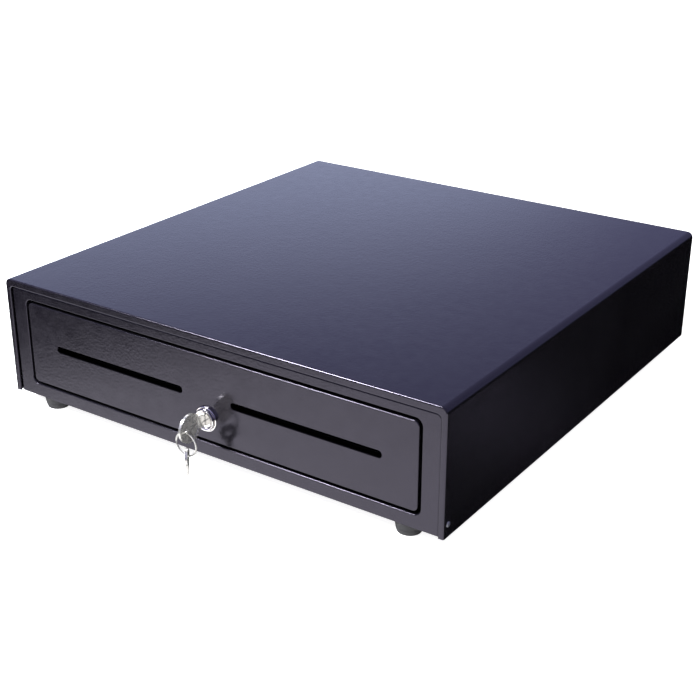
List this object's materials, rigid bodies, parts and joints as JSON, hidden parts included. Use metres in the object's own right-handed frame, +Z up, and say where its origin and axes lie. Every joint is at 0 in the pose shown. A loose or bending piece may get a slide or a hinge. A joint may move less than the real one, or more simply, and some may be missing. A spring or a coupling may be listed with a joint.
{
  "type": "cash drawer",
  "caption": "Wide shallow steel cash drawer with a flat locking front, two slots for notes, a key with ring, and a till on roller rails inside.",
  "frame": {"origin": "centre of the case's footprint, on the surface that the feet stand on", "axes": "+Z up, -Y out of the drawer's front, +X to the right of a person facing the front"},
  "size_m": [0.4116, 0.4515, 0.108],
  "materials": {
    "black_powder_coat": "fine-textured satin black powder coat over steel",
    "zinc_steel": "zinc-plated steel sheet and wire",
    "chrome_plate": "polished chrome plate",
    "nickel_key": "worn nickel plate",
    "black_rubber": "moulded black rubber",
    "black_abs": "fine-grained black moulded plastic",
    "white_nylon": "natural white nylon",
    "copper_winding": "enamelled copper wire under clear tape",
    "spring_steel": "oiled spring steel"
  },
  "bodies": {
    "case": {"outer_cover": "black_powder_coat", "base_pan": "black_powder_coat", "rear_panel": "black_powder_coat", "front_frame": "black_powder_coat", "case_rail_left": "zinc_steel", "case_rail_right": "zinc_steel", "case_roller_axles": "zinc_steel", "foot_front_left": "black_rubber", "foot_front_right": "black_rubber", "foot_rear_left": "black_rubber", "foot_rear_right": "black_rubber", "foot_screws": "zinc_steel", "cover_screws": "zinc_steel", "rear_screws": "zinc_steel", "latch_bracket": "zinc_steel", "latch_pin": "zinc_steel", "solenoid_frame": "zinc_steel", "solenoid_coil": "copper_winding", "plunger_spring": "spring_steel", "eject_guides": "zinc_steel", "eject_springs": "spring_steel", "drawer_switch": "black_abs", "cable_socket": "black_abs"},
    "case_roller_left": {"case_roller_left": "white_nylon"},
    "case_roller_right": {"case_roller_right": "white_nylon"},
    "latch_hook": {"latch_hook": "zinc_steel"},
    "plunger": {"plunger": "zinc_steel"},
    "switch_button": {"switch_button": "white_nylon"},
    "drawer": {"drawer_front": "black_powder_coat", "drawer_tub": "black_powder_coat", "drawer_rail_left": "zinc_steel", "drawer_rail_right": "zinc_steel", "drawer_roller_axles": "zinc_steel", "till_ledge_left": "black_powder_coat", "till_ledge_right": "black_powder_coat", "striker": "zinc_steel", "lock_housing": "chrome_plate", "lock_nut": "zinc_steel", "bar_rivet": "zinc_steel", "till_tray": "black_abs", "coin_tray": "black_abs", "clip_rod": "zinc_steel", "clip_springs": "spring_steel"},
    "drawer_roller_left": {"drawer_roller_left": "white_nylon"},
    "drawer_roller_right": {"drawer_roller_right": "white_nylon"},
    "lock_plug": {"lock_plug": "chrome_plate", "lock_cam": "zinc_steel", "cam_screw": "zinc_steel"},
    "lock_bar": {"lock_bar": "zinc_steel"},
    "key": {"key": "nickel_key"},
    "key_ring": {"key_ring": "nickel_key"},
    "spare_key": {"spare_key": "nickel_key"},
    "bill_clip_1": {"bill_clip_1": "black_abs"},
    "bill_clip_2": {"bill_clip_2": "black_abs"},
    "bill_clip_3": {"bill_clip_3": "black_abs"},
    "bill_clip_4": {"bill_clip_4": "black_abs"},
    "bill_clip_5": {"bill_clip_5": "black_abs"}
  },
  "joints": [
    {"name": "drawer_slide", "type": "slide", "parent": "case", "child": "drawer", "axis": [0, -1, 0], "range_m": [0, 0.305], "deforming": ["eject_springs"]},
    {"name": "case_roller_left_spin", "type": "hinge", "parent": "case", "child": "case_roller_left", "pos_m": [-0.1787, -0.188, 0.05], "axis": [1, 0, 0], "continuous": true},
    {"name": "drawer_roller_left_spin", "type": "hinge", "parent": "drawer", "child": "drawer_roller_left", "pos_m": [-0.1915, 0.14, 0.05], "axis": [1, 0, 0], "continuous": true},
    {"name": "case_roller_right_spin", "type": "hinge", "parent": "case", "child": "case_roller_right", "pos_m": [0.1787, -0.188, 0.05], "axis": [1, 0, 0], "continuous": true},
    {"name": "drawer_roller_right_spin", "type": "hinge", "parent": "drawer", "child": "drawer_roller_right", "pos_m": [0.1915, 0.14, 0.05], "axis": [1, 0, 0], "continuous": true},
    {"name": "lock_turn", "type": "hinge", "parent": "drawer", "child": "lock_plug", "pos_m": [0, -0.2132, 0.041], "axis": [0, -1, 0], "range_deg": [-90, 90]},
    {"name": "bar_swing", "type": "hinge", "parent": "drawer", "child": "lock_bar", "pos_m": [0, -0.02, 0.0266], "axis": [0, 0, 1], "range_deg": [-3.6, 3.6]},
    {"name": "key_slide", "type": "slide", "parent": "lock_plug", "child": "key", "axis": [0, -1, 0], "range_m": [0, 0.03]},
    {"name": "ring_swing", "type": "hinge", "parent": "key", "child": "key_ring", "pos_m": [0, -0.2338, 0.0403], "axis": [1, 0, 0], "range_deg": [-80, 35]},
    {"name": "spare_swing", "type": "hinge", "parent": "key_ring", "child": "spare_key", "pos_m": [0, -0.2338, 0.01935], "axis": [0.8231, 0.5678, 0], "range_deg": [-60, 30]},
    {"name": "latch_turn", "type": "hinge", "parent": "case", "child": "latch_hook", "pos_m": [0.022, 0.198, 0.071], "axis": [0, 0, 1], "range_deg": [0, 16]},
    {"name": "plunger_slide", "type": "slide", "parent": "case", "child": "plunger", "axis": [1, 0, 0], "range_m": [0, 0.00526], "deforming": ["plunger_spring"]},
    {"name": "switch_press", "type": "slide", "parent": "case", "child": "switch_button", "axis": [0, 1, 0], "range_m": [0, 0.0008], "stiffness_N_per_m": 150},
    {"name": "clip_1_lift", "type": "hinge", "parent": "drawer", "child": "bill_clip_1", "pos_m": [-0.1336, 0.137, 0.081], "axis": [-1, 0, 0], "range_deg": [0, 35], "stiffness_Nm_per_rad": 0.06, "springref_deg": -34.38},
    {"name": "clip_2_lift", "type": "hinge", "parent": "drawer", "child": "bill_clip_2", "pos_m": [-0.0668, 0.137, 0.081], "axis": [-1, 0, 0], "range_deg": [0, 35], "stiffness_Nm_per_rad": 0.06, "springref_deg": -34.38},
    {"name": "clip_3_lift", "type": "hinge", "parent": "drawer", "child": "bill_clip_3", "pos_m": [0, 0.137, 0.081], "axis": [-1, 0, 0], "range_deg": [0, 35], "stiffness_Nm_per_rad": 0.06, "springref_deg": -34.38},
    {"name": "clip_4_lift", "type": "hinge", "parent": "drawer", "child": "bill_clip_4", "pos_m": [0.0668, 0.137, 0.081], "axis": [-1, 0, 0], "range_deg": [0, 35], "stiffness_Nm_per_rad": 0.06, "springref_deg": -34.38},
    {"name": "clip_5_lift", "type": "hinge", "parent": "drawer", "child": "bill_clip_5", "pos_m": [0.1336, 0.137, 0.081], "axis": [-1, 0, 0], "range_deg": [0, 35], "stiffness_Nm_per_rad": 0.06, "springref_deg": -34.38}
  ],
  "couplings": [
    {"joint": "case_roller_left_spin", "follows": "drawer_slide", "rad_per_m": 125},
    {"joint": "drawer_roller_left_spin", "follows": "drawer_slide", "rad_per_m": 125},
    {"joint": "case_roller_right_spin", "follows": "drawer_slide", "rad_per_m": 125},
    {"joint": "drawer_roller_right_spin", "follows": "drawer_slide", "rad_per_m": 125},
    {"joint": "bar_swing", "follows": "lock_turn", "ratio": 0.03906},
    {"joint": "plunger_slide", "follows": "latch_turn", "m_per_rad": 0.018764}
  ]
}
